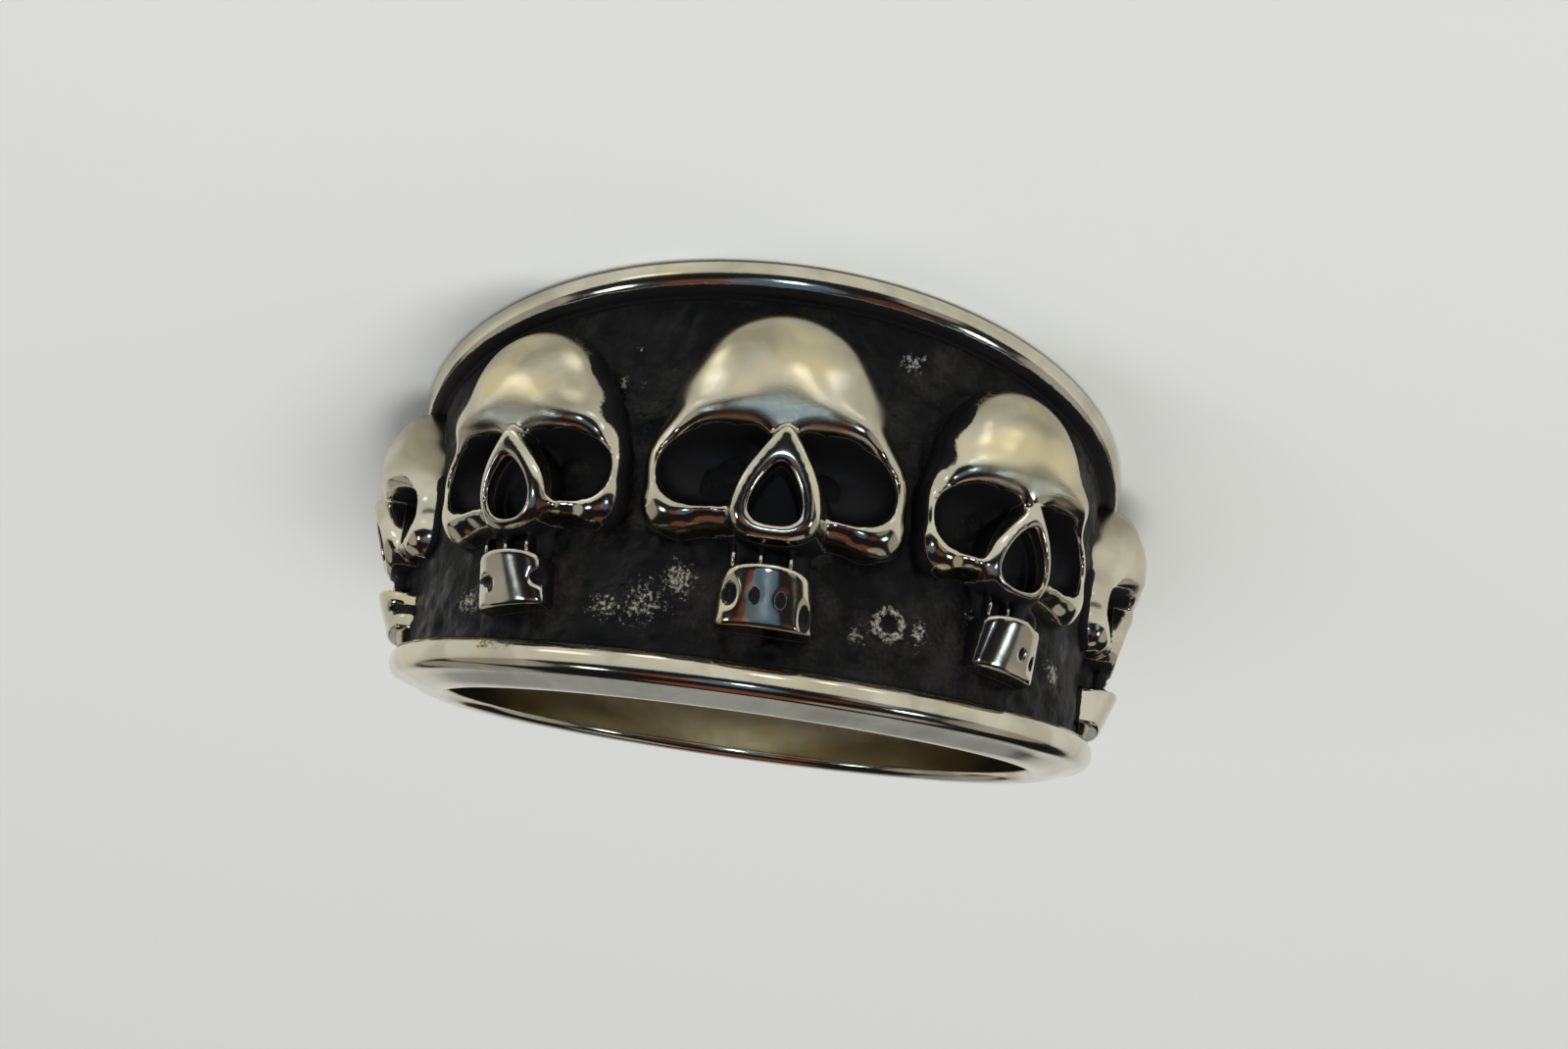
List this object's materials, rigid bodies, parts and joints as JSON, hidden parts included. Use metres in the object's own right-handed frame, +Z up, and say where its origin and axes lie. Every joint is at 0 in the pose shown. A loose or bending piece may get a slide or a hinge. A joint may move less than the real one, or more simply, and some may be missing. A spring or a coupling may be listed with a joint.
{
  "type": "skull ring",
  "caption": "Steel finger ring cast in one piece: a tapering band with graduated skulls in relief on a dark sunk field between two polished rims.",
  "frame": {"origin": "middle of the foot of the ring's box, on the surface that it lies on", "axes": "+Z up; the ring lies on the side that the skulls' tops point to, with its crown towards -Y; the bore's axis leans in the YZ plane by the taper of the band"},
  "size_m": [0.026, 0.0262, 0.0144],
  "materials": {
    "polished_steel": "polished"
  },
  "bodies": {
    "root": {"skull_band": "polished_steel"}
  },
  "joints": []
}
